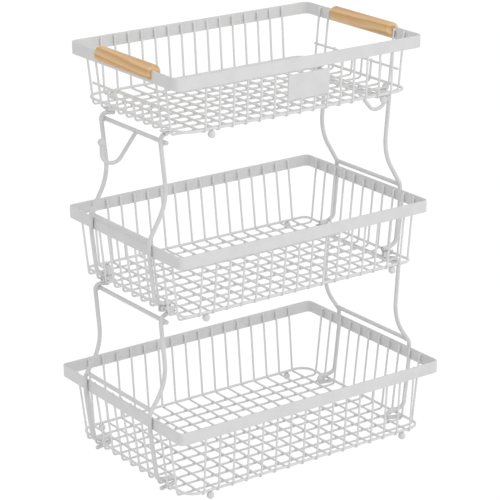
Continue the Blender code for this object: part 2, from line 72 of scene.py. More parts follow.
def evaluated(item):
    # the plain mesh that an object's modifiers leave
    return bpy.data.meshes.new_from_object(item.evaluated_get(bpy.context.evaluated_depsgraph_get()))


def meshFrom(shape, name, outward=False):
    if outward:
        bmesh.ops.recalc_face_normals(shape, faces=shape.faces)
    mesh = bpy.data.meshes.new(name)
    shape.to_mesh(mesh)
    shape.free()
    return mesh


def boxMiddle(node):
    low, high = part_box(node)
    return (low + high) / 2


# Finishes

def linear(hexColour):
    # sRGB hex to the linear colour that the shader wants
    parts = [int(hexColour[i:i + 2], 16) / 255 for i in (1, 3, 5)]
    return [c / 12.92 if c < 0.0405 else ((c + 0.055) / 1.055) ** 2.4 for c in parts] + [1.0]


def newMaterial(name):
    material = bpy.data.materials.new(name)
    material.use_nodes = True
    return material, material.node_tree, material.node_tree.nodes["Principled BSDF"]


coatLook = {
    "white": "#e5e5e5",
    "thin": "#e1e1e1",  # where the coat is thinner, on the crests of the long waves
    "nib": "#c6c6c6",  # dust nibs baked into the coat
    "waveSize": 0.022,  # long tone changes
    "waveStops": (0.36, 0.62),
    "peelSize": 0.0011,  # orange peel, real one is about 1 mm
    "peelHeight": 0.00003,
    "peelStrength": 0.55,
    "nibSpacing": 0.007,
    "nibSize": 0.00022,
    "nibShow": 0.7,
    "roughness": 0.42,
    "roughSpread": (-0.05, 0.06),
    "ior": 1.5,
}


def powderCoat(name, roughness=0.0, paintedLightAndShade=1.0, peel=1.0):
    # Polyester powder coat, baked on steel: even white, a soft sheen and a fine orange peel; the white is scaled
    # for each part as painted light and shade
    material, tree, shader = newMaterial(name)
    place = addNode(tree, "ShaderNodeTexCoord").outputs["Object"]
    wave = addNode(tree, "ShaderNodeTexNoise", {
        "Vector": place, "Scale": 1 / coatLook["waveSize"], "Detail": 2.0,
    })
    # painted light and shade: every shade of the coat is scaled lighter or darker for the part it goes on
    shades = [Vector(linear(coatLook[c])[:3]) * paintedLightAndShade for c in ("thin", "white", "nib")]
    tint = addNode(tree, "ShaderNodeValToRGB", {"Fac": wave.outputs["Fac"]})
    for stop, shade, at in zip(tint.color_ramp.elements, shades, coatLook["waveStops"]):
        stop.position = at
        stop.color = (*shade, 1)
    nibs = addNode(tree, "ShaderNodeTexVoronoi", {"Vector": place, "Scale": 1 / coatLook["nibSpacing"]})
    reach = coatLook["nibSize"] / coatLook["nibSpacing"]
    speck = addNode(tree, "ShaderNodeMapRange", {
        "Value": nibs.outputs["Distance"], "From Min": reach, "From Max": reach * 2,
        "To Min": coatLook["nibShow"], "To Max": 0.0,
    })
    colour = addNode(tree, "ShaderNodeMix", {
        0: speck.outputs[0], 6: tint.outputs["Color"], 7: (*shades[2], 1),
    }, data_type="RGBA")
    tree.links.new(colour.outputs[2], shader.inputs["Base Color"])
    grain = addNode(tree, "ShaderNodeTexNoise", {
        "Vector": place, "Scale": 1 / coatLook["peelSize"], "Detail": 3.0, "Roughness": 0.55,
    })
    smoothest, roughest = (coatLook["roughness"] + roughness + step for step in coatLook["roughSpread"])
    sheen = addNode(tree, "ShaderNodeMapRange", {
        "Value": grain.outputs["Fac"], "From Min": 0.3, "From Max": 0.7,
        "To Min": smoothest, "To Max": roughest,
    })
    tree.links.new(sheen.outputs[0], shader.inputs["Roughness"])
    bump = addNode(tree, "ShaderNodeBump", {
        "Height": grain.outputs["Fac"], "Strength": coatLook["peelStrength"] * peel,
        "Distance": coatLook["peelHeight"],
    })
    tree.links.new(bump.outputs["Normal"], shader.inputs["Normal"])
    shader.inputs["IOR"].default_value = coatLook["ior"]
    return material


woodLook = {
    "pale": "#efcc98",
    "middle": "#e3b783",
    "ring": "#d2a36d",
    "pore": "#bd8a57",
    "ringSpacing": 0.0098,
    "ringStops": {"middle": 0.4, "ring": 0.72},  # where each shade peaks in a season's growth
    "ringCentre": (0.0, 0.0, -0.021),  # heart of the tree, under the bar: the rings cut it as long arches
    "lean": 0.03,
    "twist": 0.02,
    "swayScale": (70, 7, 70),
    "sway": 1.3,  # how far the rings wander, in rings
    "poreLength": 0.0065,
    "poreWidth": 0.00035,
    "poreScale": 0.6,
    "poreLimits": (0.58, 0.74),
    "poreShow": 0.35,
    "poreHeight": 0.00006,
    "poreStrength": 0.35,
    "roughness": 0.46,
    "roughSpread": (-0.05, 0.16),
    "ior": 1.48,
}


def lacqueredBeech(name, centre, lean):
    # Turned beech under a thin matt lacquer: long soft growth rings, short dark pores along the bar
    material, tree, shader = newMaterial(name)
    place = addNode(tree, "ShaderNodeTexCoord").outputs["Object"]
    heart = Vector(centre) + Vector(woodLook["ringCentre"])
    local = addNode(tree, "ShaderNodeMapping", {
        "Vector": place, "Location": -heart, "Rotation": (lean, woodLook["twist"], 0),
    }, vector_type="POINT").outputs[0]
    sway = addNode(tree, "ShaderNodeMapping", {"Vector": local, "Scale": woodLook["swayScale"]})
    drift = addNode(tree, "ShaderNodeTexNoise", {"Vector": sway.outputs[0], "Scale": 1.0, "Detail": 2.0})
    flat = addNode(tree, "ShaderNodeMapping", {"Vector": local, "Scale": (1, 0, 1)})
    reach = addNode(tree, "ShaderNodeVectorMath", {0: flat.outputs[0]}, operation="LENGTH")
    turns = addNode(tree, "ShaderNodeMath", {
        0: reach.outputs["Value"], 1: 1 / woodLook["ringSpacing"],
    }, operation="MULTIPLY")
    swayed = addNode(tree, "ShaderNodeMath", {
        0: drift.outputs["Fac"], 1: woodLook["sway"], 2: turns.outputs[0],
    }, operation="MULTIPLY_ADD")
    season = addNode(tree, "ShaderNodeMath", {0: swayed.outputs[0]}, operation="FRACT")
    rings = addNode(tree, "ShaderNodeValToRGB", {"Fac": season.outputs[0]})
    ramp = rings.color_ramp.elements
    for stop, at in ((ramp[0], 0.0), (ramp[1], 1.0)):
        stop.position, stop.color = at, linear(woodLook["pale"])
    for shade, at in woodLook["ringStops"].items():
        ramp.new(at).color = linear(woodLook[shade])
    long = (1 / woodLook["poreWidth"], 1 / woodLook["poreLength"], 1 / woodLook["poreWidth"])
    fibre = addNode(tree, "ShaderNodeMapping", {"Vector": local, "Scale": long})
    pores = addNode(tree, "ShaderNodeTexNoise", {
        "Vector": fibre.outputs[0], "Scale": woodLook["poreScale"], "Detail": 2.0,
    }).outputs["Fac"]
    least, most = woodLook["poreLimits"]
    dash = addNode(tree, "ShaderNodeMapRange", {
        "Value": pores, "From Min": least, "From Max": most, "To Min": 0.0, "To Max": woodLook["poreShow"],
    })
    colour = addNode(tree, "ShaderNodeMix", {
        0: dash.outputs[0], 6: rings.outputs["Color"], 7: linear(woodLook["pore"]),
    }, data_type="RGBA")
    tree.links.new(colour.outputs[2], shader.inputs["Base Color"])
    smoothest, roughest = (woodLook["roughness"] + step for step in woodLook["roughSpread"])
    matt = addNode(tree, "ShaderNodeMapRange", {
        "Value": pores, "From Min": 0.3, "From Max": 0.75, "To Min": smoothest, "To Max": roughest,
    })
    tree.links.new(matt.outputs[0], shader.inputs["Roughness"])
    bump = addNode(tree, "ShaderNodeBump", {
        "Height": pores, "Strength": woodLook["poreStrength"], "Distance": woodLook["poreHeight"],
    }, invert=True)
    tree.links.new(bump.outputs["Normal"], shader.inputs["Normal"])
    shader.inputs["IOR"].default_value = woodLook["ior"]
    return material


# Painted light and shade: every part gets the same white coat, scaled lighter on the wires and darker on the
# strips, rods, brackets, balls and plate, by how light falls on them
wireCoat = powderCoat("powderCoatedWire", paintedLightAndShade=1.02)
stripCoat = powderCoat("powderCoatedStrip", roughness=0.03, paintedLightAndShade=0.965)
rodCoat = powderCoat("powderCoatedRod", roughness=-0.02, paintedLightAndShade=0.93)
bracketCoat = powderCoat("powderCoatedFoldedSteel", roughness=0.04, paintedLightAndShade=0.97)
ballCoat = powderCoat("powderCoatedBall", paintedLightAndShade=0.98)
plateCoat = powderCoat("powderCoatedPlate", roughness=0.05, paintedLightAndShade=0.955, peel=1.3)
print("finishes made")


# Shape of each basket, as in the CAD: wall wires lean in, cross wires lie on the long wires

wireLook = {"radius": 0.00135, "sides": 12, "bendSteps": 6, "wander": 0.00035, "bend": 0.0042, "longSeed": 20}
cadWire = 0.0015  # radius that the CAD spaces the wires by
ringLook = {"radius": 0.0017, "sides": 12, "bendSteps": 10, "bite": 0.0006}  # bite: how deep it is welded in
stripLook = {"thickness": 0.002, "cornerSteps": 14, "edge": 0.00055, "edgeSteps": 3, "wireTopDrop": 0.001}
grids = {
    "bottom": {
        "floor": 0.0054, "endLean": 0.0115, "sideLean": 0.0077, "crossWires": 16, "crossMargin": 0.0234,
        "longWires": 11, "longMargin": 0.0235, "ringCorner": 0.019, "rimCorner": 0.007,
    },
    "middle": {
        "floor": 0.2316, "endLean": 0.009, "sideLean": 0.0102, "crossWires": 16, "crossMargin": 0.023,
        "longWires": 11, "longMargin": 0.012, "ringCorner": 0.008, "rimCorner": 0.0075, "armDrop": 0.003,
    },
    "top": {
        "floor": 0.4573, "endLean": 0.008, "sideLean": 0.0044, "crossWires": 15, "crossMargin": 0.0318,
        "longWires": 10, "longMargin": 0.0252, "ringCorner": 0.02, "rimCorner": 0.009, "armDrop": 0.006,
    },
}
handOpening = {"shortWires": 6, "railHeight": 0.4843}


for tier, grid in grids.items():
    low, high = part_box(tier + "_basket_rim")
    grid["length"], grid["width"], grid["rimHeight"] = high - low
    grid["rimTop"] = high.z


def wireTop(grid):
    return grid["rimTop"] - stripLook["wireTopDrop"]


def wallHalf(grid, side, height):
    # half the distance between the wires of two facing walls, at a height
    size, lean = (grid["length"], grid["endLean"]) if side == "end" else (grid["width"], grid["sideLean"])
    top = wireTop(grid)
    return size / 2 - stripLook["thickness"] - airGap - cadWire - lean * (top - height) / (top - grid["floor"])


def spread(count, half):
    return [half * (2 * i / (count - 1) - 1) for i in range(count)]


def crossPlaces(grid):
    return spread(grid["crossWires"], wallHalf(grid, "end", grid["floor"]) - grid["crossMargin"])


def longPlaces(grid):
    return spread(grid["longWires"], wallHalf(grid, "side", grid["floor"]) - grid["longMargin"])


def crossHeight(grid):
    return grid["floor"] + 2 * cadWire + airGap


def ringHeight(grid):
    return crossHeight(grid) + cadWire + ringLook["radius"] - ringLook["bite"]


def ringHalf(grid, side):
    return wallHalf(grid, side, ringHeight(grid)) - cadWire - ringLook["radius"] + ringLook["bite"]


def clipEnd(grid):
    # outer end of the brackets, just inside the floor ring
    return ringHalf(grid, "end") - ringLook["radius"] - airGap


# Geometry Nodes trees

weldLook = {
    "segments": 8, "rings": 5, "smallest": 0.82, "largest": 1.12,  # smallest and largest: shares of Bead Radius
    "cross": {"Bead Radius": 0.0019, "Squash": 0.62, "Seed": 4},
    "strip": {"Bead Radius": 0.0021, "Squash": 0.45, "Seed": 9},
    "rod": {"Bead Radius": 0.0034, "Squash": 0.7, "Seed": 2},
    "hook": {"Bead Radius": 0.00306, "Squash": 0.6, "Seed": 5},
    "pastRing": 0.0015, "offStrip": 0.0003,  # where the beads sit on a basket
    "underTop": 0.0028, "overEdge": 0.0022,  # the two rows on the inside of a strip
    "pairHalf": 0.0012,  # the pair at each end of a top bar
}


def newTree(name, sizes):
    tree = bpy.data.node_groups.new(name, "GeometryNodeTree")
    tree.interface.new_socket("Geometry", in_out="INPUT", socket_type="NodeSocketGeometry")
    tree.interface.new_socket("Geometry", in_out="OUTPUT", socket_type="NodeSocketGeometry")
    for label, kind in sizes.items():
        tree.interface.new_socket(label, in_out="INPUT", socket_type="NodeSocket" + kind)
    return tree, addNode(tree, "NodeGroupInput").outputs


def endTree(tree, geometry, finish):
    smooth = addNode(tree, "GeometryNodeSetShadeSmooth", {"Geometry": geometry})
    real = addNode(tree, "GeometryNodeRealizeInstances", {"Geometry": smooth.outputs[0]})
    coated = addNode(tree, "GeometryNodeSetMaterial", {"Geometry": real.outputs[0], "Material": finish})
    addNode(tree, "NodeGroupOutput", {"Geometry": coated.outputs[0]})
    return tree


def makeRodTree():
    # a path with its corners rounded, swept round and repeated along a line
    sizes = {
        "Radius": "Float", "Sides": "Int", "Bend Steps": "Int", "Copies": "Int", "First Copy": "Vector",
        "Copy Step": "Vector", "Wander": "Float", "Seed": "Int", "Finish": "Material",
    }
    tree, size = newTree("bentRod", sizes)
    bend = addNode(tree, "GeometryNodeInputNamedAttribute", {"Name": "bend"})
    girth = addNode(tree, "GeometryNodeInputNamedAttribute", {"Name": "girth"})
    path = addNode(tree, "GeometryNodeMeshToCurve", {"Mesh": size["Geometry"]})
    fillet = addNode(tree, "GeometryNodeFilletCurve", {
        "Curve": path.outputs[0], "Radius": bend.outputs[0], "Count": size["Bend Steps"],
    }, mode="POLY")
    circle = addNode(tree, "GeometryNodeCurvePrimitiveCircle", {
        "Resolution": size["Sides"], "Radius": size["Radius"],
    })
    sweep = addNode(tree, "GeometryNodeCurveToMesh", {
        "Curve": fillet.outputs[0], "Profile Curve": circle.outputs[0],
        "Scale": girth.outputs[0], "Fill Caps": True,
    })
    line = addNode(tree, "GeometryNodeMeshLine", {
        "Count": size["Copies"], "Start Location": size["First Copy"], "Offset": size["Copy Step"],
    })
    copies = addNode(tree, "GeometryNodeInstanceOnPoints", {
        "Points": line.outputs[0], "Instance": sweep.outputs[0],
    })
    heading = addNode(tree, "ShaderNodeVectorMath", {0: size["Copy Step"]}, operation="NORMALIZE")
    chance = addNode(tree, "FunctionNodeRandomValue", {2: -1.0, 3: 1.0, 8: size["Seed"]}, data_type="FLOAT")
    much = addNode(tree, "ShaderNodeMath", {0: chance.outputs[1], 1: size["Wander"]}, operation="MULTIPLY")
    shift = addNode(tree, "ShaderNodeVectorMath", {
        0: heading.outputs[0], 3: much.outputs[0],
    }, operation="SCALE")
    moved = addNode(tree, "GeometryNodeTranslateInstances", {
        "Instances": copies.outputs[0], "Translation": shift.outputs[0],
    })
    return endTree(tree, moved.outputs[0], size["Finish"])


def makeStripTree():
    # a flat strip with rolled edges, bent round into a rim
    sizes = {
        "Length": "Float", "Width": "Float", "Height": "Float", "Thickness": "Float", "Corner": "Float",
        "Corner Steps": "Int", "Edge": "Float", "Edge Steps": "Int", "Lift": "Vector", "Finish": "Material",
    }
    tree, size = newTree("rimStrip", sizes)
    thick = size["Thickness"]
    lessLong = addNode(tree, "ShaderNodeMath", {0: size["Length"], 1: thick}, operation="SUBTRACT")
    lessWide = addNode(tree, "ShaderNodeMath", {0: size["Width"], 1: thick}, operation="SUBTRACT")
    halfThick = addNode(tree, "ShaderNodeMath", {0: thick, 1: 0.5}, operation="MULTIPLY")
    bend = addNode(tree, "ShaderNodeMath", {0: size["Corner"], 1: halfThick.outputs[0]}, operation="SUBTRACT")
    outline = addNode(tree, "GeometryNodeCurvePrimitiveQuadrilateral", {
        "Width": lessLong.outputs[0], "Height": lessWide.outputs[0],
    })
    rounded = addNode(tree, "GeometryNodeFilletCurve", {
        "Curve": outline.outputs[0], "Radius": bend.outputs[0], "Count": size["Corner Steps"],
    }, mode="POLY")
    upright = addNode(tree, "GeometryNodeSetCurveNormal", {"Curve": rounded.outputs[0]}, mode="Z_UP")
    section = addNode(tree, "GeometryNodeCurvePrimitiveQuadrilateral", {
        "Width": thick, "Height": size["Height"],
    })
    rolled = addNode(tree, "GeometryNodeFilletCurve", {
        "Curve": section.outputs[0], "Radius": size["Edge"], "Count": size["Edge Steps"],
    }, mode="POLY")
    sweep = addNode(tree, "GeometryNodeCurveToMesh", {
        "Curve": upright.outputs[0], "Profile Curve": rolled.outputs[0],
    })
    lifted = addNode(tree, "GeometryNodeTransform", {"Geometry": sweep.outputs[0], "Translation": size["Lift"]})
    return endTree(tree, lifted.outputs[0], size["Finish"])


def makeWeldTree():
    # a squashed bead at each point, lying the way that the point's "lie" says
    sizes = {"Bead Radius": "Float", "Squash": "Float", "Seed": "Int", "Finish": "Material"}
    tree, size = newTree("weldBeads", sizes)
    lie = addNode(tree, "GeometryNodeInputNamedAttribute", {"Name": "lie"}, data_type="FLOAT_VECTOR")
    turn = addNode(tree, "FunctionNodeAlignRotationToVector", {"Vector": lie.outputs[0]}, axis="Z")
    ball = addNode(tree, "GeometryNodeMeshUVSphere", {
        "Segments": weldLook["segments"], "Rings": weldLook["rings"], "Radius": size["Bead Radius"],
    })
    flat = addNode(tree, "ShaderNodeCombineXYZ", {0: 1.0, 1: 1.0, 2: size["Squash"]})
    bead = addNode(tree, "GeometryNodeTransform", {"Geometry": ball.outputs[0], "Scale": flat.outputs[0]})
    chance = addNode(tree, "FunctionNodeRandomValue", {
        2: weldLook["smallest"], 3: weldLook["largest"], 8: size["Seed"],
    }, data_type="FLOAT")
    beads = addNode(tree, "GeometryNodeInstanceOnPoints", {
        "Points": size["Geometry"], "Instance": bead.outputs[0],
        "Rotation": turn.outputs[0], "Scale": chance.outputs[1],
    })
    return endTree(tree, beads.outputs[0], size["Finish"])


rodTree, stripTree, weldTree = makeRodTree(), makeStripTree(), makeWeldTree()
print("node trees made")


def grow(tree, base, sizes):
    # runs a tree over a base mesh and keeps the result as a plain mesh
    holder = placed(tree.name, base)
    step = holder.modifiers.new(tree.name, "NODES")
    step.node_group = tree
    sockets = {s.name: s.identifier for s in tree.interface.items_tree if s.in_out == "INPUT"}
    for label, value in sizes.items():
        step[sockets[label]] = value
    mesh = evaluated(holder)
    holder.modifiers.remove(step)
    bpy.data.objects.remove(holder)
    return mesh


def pathMesh(route, closed=False):
    # edges along a route, which is (place, bend, girth) for each corner
    mesh = bpy.data.meshes.new("path")
    edges = [(i, i + 1) for i in range(len(route) - 1)]
    if closed:
        edges.append((len(route) - 1, 0))
    mesh.from_pydata([p[0] for p in route], edges, [])
    for label, column in (("bend", 1), ("girth", 2)):
        values = mesh.attributes.new(label, "FLOAT", "POINT")
        values.data.foreach_set("value", [p[column] for p in route])
    return mesh


easedEnd = ((0.0, 0.62), (0.16, 0.88), (0.45, 1.0))  # cropped and coated end: inset and girth, in rod radii


def rodRoute(corners, bends, radius):
    start, finish = corners[0], corners[-1]
    ahead = (corners[1] - start).normalized()
    behind = (corners[-2] - finish).normalized()
    route = [(start + ahead * radius * inset, 0.0, girth) for inset, girth in easedEnd]
    route += [(corner, bend, 1.0) for corner, bend in zip(corners[1:-1], bends)]
    return route + [(finish + behind * radius * inset, 0.0, girth) for inset, girth in reversed(easedEnd)]


def oneRod(route, look, radius, finish, closed=False):
    sizes = {
        "Radius": radius, "Sides": look["sides"], "Bend Steps": look["bendSteps"],
        "Copies": 1, "Seed": 0, "Wander": 0.0, "Finish": finish,
    }
    return grow(rodTree, pathMesh(route, closed), sizes)


def weldBeads(kind, spots, finish):
    # a bead at each spot, which is (place, lie)
    mesh = bpy.data.meshes.new("spots")
    mesh.from_pydata([s[0] for s in spots], [], [])
    lie = mesh.attributes.new("lie", "FLOAT_VECTOR", "POINT")
    lie.data.foreach_set("vector", [c for s in spots for c in s[1]])
    return grow(weldTree, mesh, {**weldLook[kind], "Finish": finish})


def joined(name, meshes):
    shape = bmesh.new()
    for mesh in meshes:
        shape.from_mesh(mesh)
    whole = meshFrom(shape, name)
    for material in meshes[0].materials:
        whole.materials.append(material)
    return whole


def show(name, mesh, body, nodes=()):
    # a finished piece: it rides on its body and stands for the CAD nodes that it replaces
    piece = placed(name, mesh)
    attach(piece, body)
    if nodes:
        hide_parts(*nodes)


# Wire cages

def wireRoute(grid, side, height, top):
    # down one wall, over the floor and up the facing wall
    across = Vector((1, 0, 0)) if side == "end" else Vector((0, 1, 0))
    floorHalf, topHalf = wallHalf(grid, side, height), wallHalf(grid, side, top)
    bent = ((-topHalf, top), (-floorHalf, height), (floorHalf, height), (topHalf, top))
    corners = [across * half + Vector((0, 0, z)) for half, z in bent]
    return rodRoute(corners, [wireLook["bend"]] * 2, wireLook["radius"])


def wireRun(route, places, axis, seed):
    first, along = Vector(), Vector()
    first[axis], along[axis] = places[0], places[1] - places[0]
    sizes = {
        "Radius": wireLook["radius"], "Sides": wireLook["sides"], "Bend Steps": wireLook["bendSteps"],
        "Copies": len(places), "First Copy": first, "Copy Step": along,
        "Wander": wireLook["wander"], "Seed": seed, "Finish": wireCoat,
    }
    return grow(rodTree, pathMesh(route), sizes)


def cageWelds(grid):
    crossX, longY = crossPlaces(grid), longPlaces(grid)
    mid = (grid["floor"] + crossHeight(grid)) / 2
    spots = [((x, y, mid), (0, 0, 1)) for x in crossX for y in longY]
    ringZ, ringX, ringY = ringHeight(grid), ringHalf(grid, "end"), ringHalf(grid, "side")
    low = (ringZ + crossHeight(grid)) / 2
    for sign in (-1, 1):
        spots += [((x, sign * ringY, low), (0, sign, 1)) for x in crossX]
        spots += [((sign * (ringX + weldLook["pastRing"]), y, ringZ), (1, 0, 0)) for y in longY]
    return weldBeads("cross", spots, wireCoat)


def stripWelds(grid, longY):
    # two beads on each wire, where it meets the inside of the strip
    spots = []
    x, y = (grid[way] / 2 - stripLook["thickness"] - weldLook["offStrip"] for way in ("length", "width"))
    lowest = grid["rimTop"] - grid["rimHeight"]
    for height in (grid["rimTop"] - weldLook["underTop"], lowest + weldLook["overEdge"]):
        for sign in (-1, 1):
            spots += [((place, sign * y, height), (0, 1, 0)) for place in crossPlaces(grid)]
            spots += [((sign * x, place, height), (1, 0, 0)) for place in longY]
    return weldBeads("strip", spots, wireCoat)


for number, tier in enumerate(tiers):
    grid, body, cage = grids[tier], tier + "_basket", [tier + "_basket_cage"]
    full, longY = wireTop(grid), longPlaces(grid)
    run = wireRun(wireRoute(grid, "side", crossHeight(grid), full), crossPlaces(grid), 0, number)
    show(tier + "_cross_wires", run, body, cage)
    if tier == "top":  # the middle wires of its end walls stop at the hand opening
        edge = (len(longY) - handOpening["shortWires"]) // 2
        short = handOpening["railHeight"] + cadWire
        runs = [(longY[:edge], full), (longY[edge:-edge], short), (longY[-edge:], full)]
        tallY = longY[:edge] + longY[-edge:]
    else:
        runs, tallY = [(longY, full)], longY
    meshes = []
    for i, (places, top) in enumerate(runs):
        route = wireRoute(grid, "end", grid["floor"], top)
        meshes.append(wireRun(route, places, 1, wireLook["longSeed"] + number + i))
    show(tier + "_long_wires", joined("long", meshes), body, cage)
    x, y = ringHalf(grid, "end"), ringHalf(grid, "side")
    corners = [Vector((*corner, ringHeight(grid))) for corner in ((x, -y), (x, y), (-x, y), (-x, -y))]
    route = [(corner, grid["ringCorner"], 1.0) for corner in corners]
    ring = oneRod(route, ringLook, ringLook["radius"], wireCoat, closed=True)
    show(tier + "_floor_ring", ring, body, cage)
    welds = joined("welds", [cageWelds(grid), stripWelds(grid, tallY)])
    show(tier + "_wire_welds", welds, body, cage)
print("wire cages made")


# Rim strips

def settle(mesh, angle=35):
    # smooth shading that keeps flat faces flat
    mesh.shade_smooth()
    mesh.set_sharp_from_angle(angle=math.radians(angle))
    holder = placed("settle", mesh)
    holder.modifiers.new("weigh", "WEIGHTED_NORMAL").keep_sharp = True
    result = evaluated(holder)
    bpy.data.objects.remove(holder)
    return result


for tier, grid in grids.items():
    sizes = {
        "Length": grid["length"], "Width": grid["width"], "Height": grid["rimHeight"],
        "Thickness": stripLook["thickness"],
        "Corner": grid["rimCorner"], "Corner Steps": stripLook["cornerSteps"],
        "Edge": stripLook["edge"], "Edge Steps": stripLook["edgeSteps"],
        "Lift": Vector((0, 0, grid["rimTop"] - grid["rimHeight"] / 2)), "Finish": stripCoat,
    }
    rim = settle(grow(stripTree, bpy.data.meshes.new("start"), sizes))
    show(tier + "_rim_strip", rim, tier + "_basket", [tier + "_basket_rim"])
print("rims made")


# Ball feet, lathed in one piece with the neck that is welded under the floor ring

ballLook = {
    "radius": 0.0047, "standing": 0.0044,  # the feet on the table stand on a small flat
    "neck": 0.0017, "neckEase": 0.0002, "flare": 0.0024, "flareHeight": 0.0006,
    "steps": 24, "rings": 14, "sharp": 50,
}


def ballFoot(low, high):
    radius, neck = ballLook["radius"], ballLook["neck"]
    onTable = low.z < 0.001
    height = low.z + (ballLook["standing"] if onTable else radius)
    centre = Vector(((low.x + high.x) / 2, (low.y + high.y) / 2, height))
    flat, top = centre.z - low.z, high.z - centre.z
    first, last = math.asin(neck / radius), math.pi - math.acos(min(1, flat / radius))
    profile = [(0, top), (ballLook["flare"], top), (neck + ballLook["neckEase"], top - ballLook["flareHeight"])]
    for i in range(ballLook["rings"] + 1):
        angle = first + (last - first) * i / ballLook["rings"]
        profile.append((radius * math.sin(angle), radius * math.cos(angle)))
    profile.append((0, -flat))
    shape = bmesh.new()
    chain = [shape.verts.new((r, 0, z)) for r, z in profile]
    for a, b in zip(chain, chain[1:]):
        shape.edges.new((a, b))
    bmesh.ops.spin(
        shape, geom=shape.verts[:] + shape.edges[:], axis=(0, 0, 1), cent=(0, 0, 0),
        angle=math.tau, steps=ballLook["steps"], use_merge=True,
    )
    bmesh.ops.remove_doubles(shape, verts=shape.verts, dist=0.00001)
    bmesh.ops.recalc_face_normals(shape, faces=shape.faces)
    bmesh.ops.translate(shape, vec=centre, verts=shape.verts)
    mesh = meshFrom(shape, "foot")
    mesh.shade_smooth()
    return mesh


for tier in tiers:
    nodes = [f"{tier}_ball_foot_{side}_{end}" for side in sides for end in ends]
    feet = joined("feet", [ballFoot(*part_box(n)) for n in nodes])
    feet.materials.append(ballCoat)
    feet.set_sharp_from_angle(angle=math.radians(ballLook["sharp"]))
    show(tier + "_ball_feet", feet, tier + "_basket", nodes)
print("ball feet made")


# Side frames

rodLook = {"radius": 0.0026, "coat": 0.0001, "sides": 20, "bendSteps": 10}
frameShapes = {
    "lower": {
        "carrier": "bottom", "carried": "middle", "armCorner": 0.0084,
        "bowInset": 0.0067, "bowRise": 0.0415, "footLift": 0.0025,
    },
    "upper": {
        "carrier": "middle", "carried": "top", "armCorner": 0.0026,
        "bowInset": 0.0079, "bowRise": 0.0503, "footLift": 0.0055,
    },
}
bends = {"arm": 0.008, "bow": 0.070, "pass": 0.012, "lean": 0.04, "foot": 0.008, "mouth": 0.006}
armLook = {"length": 0.018, "turn": math.radians(28)}  # the arms turn in towards the middle of the basket
passLook = {"overRim": 0.005, "underRim": 0.002}  # the straight length against the outside of the rim
footLook = {"out": 0.0088, "mouth": 0.0015, "depth": 0.0085}


def footHeight(grid):
    return ringHeight(grid) + ringLook["radius"] + airGap + rodLook["radius"]


def armHeight(grid):
    # the top basket's pads hang under a long wire, the middle one's sit between two
    return grid["floor"] - grid["armDrop"]


def framePlace(level):
    # the uprights stand just past the ends of their rim bar
    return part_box(f"{level}_right_rim_bar")[1].y + rodLook["radius"] + airGap


def uprightCorners(level, sign, y):
    shape = frameShapes[level]
    under, over = grids[shape["carrier"]], grids[shape["carried"]]
    armX, armZ = wallHalf(over, "end", over["floor"]) + shape["armCorner"], armHeight(over)
    rimX = under["length"] / 2 + airGap + rodLook["radius"]
    footX, footZ = wallHalf(under, "end", footHeight(under)), footHeight(under)
    inward = armLook["length"] * math.sin(armLook["turn"])
    places = [
        (armX - armLook["length"] * math.cos(armLook["turn"]), inward, armZ),
        (armX, 0, armZ),
        (armX - shape["bowInset"], 0, under["rimTop"] + shape["bowRise"]),
        (rimX, 0, under["rimTop"] + passLook["overRim"]),
        (rimX, 0, under["rimTop"] - under["rimHeight"] - passLook["underRim"]),
        (footX + footLook["out"], 0, footZ + shape["footLift"]),
        (clipEnd(under) + footLook["mouth"], 0, footZ),
        (clipEnd(under) - footLook["depth"] + airGap, 0, footZ),
    ]
    middle = -1 if y > 0 else 1
    return [Vector((sign * x, y + middle * turnedIn, z)) for x, turnedIn, z in places]


def rod(corners, turns, radius=rodLook["radius"], finish=rodCoat):
    return oneRod(rodRoute(corners, turns, radius), rodLook, radius + rodLook["coat"], finish)


def straightRod(node, **settings):
    low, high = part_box(node)
    mid = boxMiddle(node)
    return rod([Vector((mid.x, low.y, mid.z)), Vector((mid.x, high.y, mid.z))], [], **settings)


for level in frameShapes:
    for end, sign in ends.items():
        body = f"{level}_{end}_frame"
        barNodes = [f"{level}_{end}_top_bar", f"{level}_{end}_rim_bar"]
        topBar, rimBar = (boxMiddle(node) for node in barNodes)
        beads = []
        for side in sides:
            node = f"{level}_{end}_upright_{side}"
            y = sides[side] * framePlace(level)
            bent = rod(uprightCorners(level, sign, y), bends.values())
            show(node.replace("upright", "bent_rod"), bent, body, [node])
            inward = -1 if y > 0 else 1
            for drop in (-weldLook["pairHalf"], weldLook["pairHalf"]):
                beads.append(((topBar.x + sign * rodLook["radius"], y, topBar.z + drop), (1, 0, 0)))
            beads.append(((rimBar.x, y + inward * rodLook["radius"], rimBar.z), (0, 1, 0)))
        for node in barNodes:
            show(node + "_rod", straightRod(node), body, [node])
        show(f"{level}_{end}_frame_welds", weldBeads("rod", beads, rodCoat), body)
print("side frames made")


# Brackets inside the floor rings: a round socket takes each foot, a folded pad rests on each arm

socketLook = {
    "wall": 0.00045, "length": footLook["depth"], "sides": 28, "ease": 0.0003, "flare": 0.6,
    "turnDrop": 0.009, "turnSteps": 14, "stubReach": 0.0059, "stubDrop": 0.001,
    "swage": 0.25,  # share of the turn in which the socket is drawn down to the rod
}
padLook = {
    "length": 0.012, "thickness": 0.0013, "sheet": 0.0008, "edge": 0.00022, "sharp": 40,
    "cheekRise": 0.0074, "lipRise": 0.0008, "cheekInset": 0.001, "web": 0.003,
    "dimple": 0.0011, "dimpleDepth": 0.0004, "dimpleSides": 16, "dimpleRings": 12,
}
dimples = {  # in from the outer end, up from the wires
    "middle": [(0.0062, 0.0056), (0.0062, 0.0002)],
    "top": [(0.0045, -0.0032)],
}


def skinned(shape, loops, shut):
    # quads from ring to ring of points; shut with caps, or run round into the first ring again
    count = len(loops[0])
    for a, b in list(zip(loops, loops[1:])) + ([] if shut else [(loops[-1], loops[0])]):
        for i in range(count):
            shape.faces.new((a[i], a[(i + 1) % count], b[(i + 1) % count], b[i]))
    if shut:
        shape.faces.new(loops[0])
        shape.faces.new(loops[-1])
    return meshFrom(shape, "skin", outward=True)


